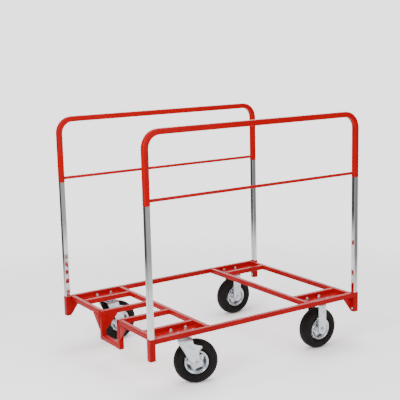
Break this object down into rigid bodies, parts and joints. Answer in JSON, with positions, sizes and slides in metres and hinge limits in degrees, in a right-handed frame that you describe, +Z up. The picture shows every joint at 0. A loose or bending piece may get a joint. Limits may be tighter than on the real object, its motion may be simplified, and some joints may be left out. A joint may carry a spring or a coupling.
{
  "type": "round-table trolley",
  "caption": "Low square-tube trolley on pneumatic casters, with a lift-out coated hoop along each long side, for moving round tables on edge.",
  "frame": {"origin": "middle of the footprint, on the floor", "axes": "+X along the long sides towards the rigid casters, +Y across towards the rear hoop, +Z up"},
  "size_m": [1.3208, 0.9514, 1.2748],
  "materials": {
    "red_paint": "gloss",
    "red_dip": "satin",
    "chrome_tube": "polished",
    "zinc_plate": "zinc plated",
    "tyre_rubber": "matt"
  },
  "bodies": {
    "root": {"front_beam": "red_paint", "front_left_caster_rail": "red_paint", "front_right_caster_rail": "red_paint", "front_slot_rail": "red_paint", "front_left_side_beam": "red_paint", "front_drop_post": "red_paint", "front_slot_gusset": "red_paint", "rear_beam": "red_paint", "rear_left_caster_rail": "red_paint", "rear_right_caster_rail": "red_paint", "rear_slot_rail": "red_paint", "rear_left_side_beam": "red_paint", "rear_drop_post": "red_paint", "rear_slot_gusset": "red_paint", "right_side_beam": "red_paint", "left_cross_rail": "red_paint", "right_cross_rail": "red_paint", "drop_bar": "red_paint", "rear_drop_gusset": "red_paint", "rear_left_socket_gusset": "red_paint", "front_right_socket_gusset": "red_paint", "front_left_caster_bed": "red_paint", "front_right_caster_bed": "red_paint", "rear_left_caster_bed": "red_paint", "rear_right_caster_bed": "red_paint", "front_left_socket": "red_paint", "front_left_stop_bolt": "zinc_plate", "front_right_socket": "red_paint", "front_right_stop_bolt": "zinc_plate", "rear_left_socket": "red_paint", "rear_left_stop_bolt": "zinc_plate", "rear_right_socket": "red_paint", "rear_right_stop_bolt": "zinc_plate", "front_right_fork": "zinc_plate", "front_right_axle": "zinc_plate", "front_left_swivel_head": "zinc_plate", "front_left_ball_race": "zinc_plate", "rear_right_fork": "zinc_plate", "rear_right_axle": "zinc_plate", "rear_left_swivel_head": "zinc_plate", "rear_left_ball_race": "zinc_plate"},
    "front_hoop": {"front_hoop_tube": "chrome_tube", "front_hoop_coating": "red_dip", "front_hoop_rail": "red_dip"},
    "front_left_swivel": {"front_left_fork": "zinc_plate", "front_left_axle": "zinc_plate"},
    "front_left_wheel": {"front_left_tyre": "tyre_rubber", "front_left_rim": "zinc_plate"},
    "front_right_wheel": {"front_right_tyre": "tyre_rubber", "front_right_rim": "zinc_plate"},
    "rear_hoop": {"rear_hoop_tube": "chrome_tube", "rear_hoop_coating": "red_dip", "rear_hoop_rail": "red_dip"},
    "rear_left_swivel": {"rear_left_fork": "zinc_plate", "rear_left_axle": "zinc_plate"},
    "rear_left_wheel": {"rear_left_tyre": "tyre_rubber", "rear_left_rim": "zinc_plate"},
    "rear_right_wheel": {"rear_right_tyre": "tyre_rubber", "rear_right_rim": "zinc_plate"}
  },
  "joints": [
    {"name": "front_hoop_lift", "type": "slide", "parent": "root", "child": "front_hoop", "axis": [0, 0, 1], "range_m": [0, 0.09]},
    {"name": "rear_hoop_lift", "type": "slide", "parent": "root", "child": "rear_hoop", "axis": [0, 0, 1], "range_m": [0, 0.09]},
    {"name": "front_left_swivel_turn", "type": "hinge", "parent": "root", "child": "front_left_swivel", "pos_m": [-0.4334, -0.38475, 0.245], "axis": [0, 0, 1], "continuous": true},
    {"name": "front_left_wheel_spin", "type": "hinge", "parent": "front_left_swivel", "child": "front_left_wheel", "pos_m": [-0.37313, -0.4091, 0.1105], "axis": [0.3746, 0.9272, 0], "continuous": true},
    {"name": "front_right_wheel_spin", "type": "hinge", "parent": "root", "child": "front_right_wheel", "pos_m": [0.4334, -0.38475, 0.1105], "axis": [0, 1, 0], "continuous": true},
    {"name": "rear_left_swivel_turn", "type": "hinge", "parent": "root", "child": "rear_left_swivel", "pos_m": [-0.4334, 0.3963, 0.245], "axis": [0, 0, 1], "continuous": true},
    {"name": "rear_left_wheel_spin", "type": "hinge", "parent": "rear_left_swivel", "child": "rear_left_wheel", "pos_m": [-0.36903, 0.40534, 0.1105], "axis": [-0.1392, 0.9903, 0], "continuous": true},
    {"name": "rear_right_wheel_spin", "type": "hinge", "parent": "root", "child": "rear_right_wheel", "pos_m": [0.4334, 0.3963, 0.1105], "axis": [0, 1, 0], "continuous": true}
  ]
}
